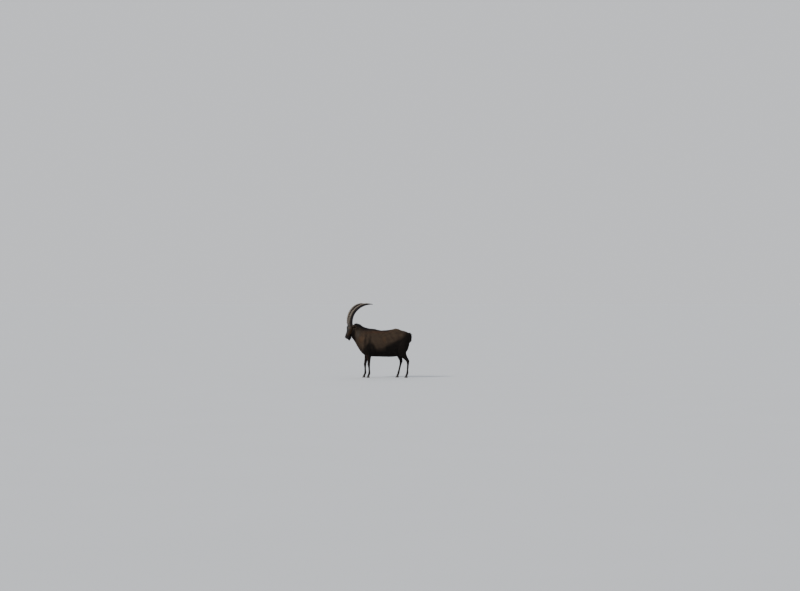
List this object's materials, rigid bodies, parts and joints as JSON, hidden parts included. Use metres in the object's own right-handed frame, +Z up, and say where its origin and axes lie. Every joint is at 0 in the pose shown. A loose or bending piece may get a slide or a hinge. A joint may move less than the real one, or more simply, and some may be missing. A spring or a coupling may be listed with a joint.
{
  "type": "alpine ibex model",
  "caption": "Life-size still model of a grown male alpine ibex standing, head lowered and turned a little to its left, with long ridged horns swept back.",
  "frame": {"origin": "middle of the bounding box at ground level, under the belly", "axes": "+Z up from the ground, -Y the way the animal faces, +X towards its own left side"},
  "size_m": [0.4588, 1.258, 1.416],
  "materials": {
    "coat_body": "short dense hair, matte",
    "coat_neck": "longer dense hair, matte",
    "coat_face": "very short hair, matte",
    "coat_ear": "very short hair, matte",
    "coat_leg": "short hair, matte",
    "coat_tail": "dense hair, matte",
    "beard_hair": "coarse hair, matte",
    "horn": "ridged horn, dull",
    "hoof": "dull horn",
    "eye": "wet shine"
  },
  "bodies": {
    "root": {"torso": "coat_body", "neck": "coat_neck", "head": "coat_face", "horn_left": "horn", "horn_right": "horn", "ear_left": "coat_ear", "ear_right": "coat_ear", "eye_left": "eye", "eye_right": "eye", "foreleg_left_shoulder": "coat_body", "foreleg_left_forearm": "coat_leg", "foreleg_left_cannon": "coat_leg", "hoof_front_left_outer": "hoof", "dewclaw_front_left_outer": "hoof", "hoof_front_left_inner": "hoof", "dewclaw_front_left_inner": "hoof", "foreleg_right_shoulder": "coat_body", "foreleg_right_forearm": "coat_leg", "foreleg_right_cannon": "coat_leg", "hoof_front_right_outer": "hoof", "dewclaw_front_right_outer": "hoof", "hoof_front_right_inner": "hoof", "dewclaw_front_right_inner": "hoof", "hindleg_left_thigh": "coat_body", "hindleg_left_gaskin": "coat_leg", "hindleg_left_cannon": "coat_leg", "hoof_hind_left_outer": "hoof", "dewclaw_hind_left_outer": "hoof", "hoof_hind_left_inner": "hoof", "dewclaw_hind_left_inner": "hoof", "hindleg_right_thigh": "coat_body", "hindleg_right_gaskin": "coat_leg", "hindleg_right_cannon": "coat_leg", "hoof_hind_right_outer": "hoof", "dewclaw_hind_right_outer": "hoof", "hoof_hind_right_inner": "hoof", "dewclaw_hind_right_inner": "hoof", "tail": "coat_tail", "beard": "beard_hair"}
  },
  "joints": []
}
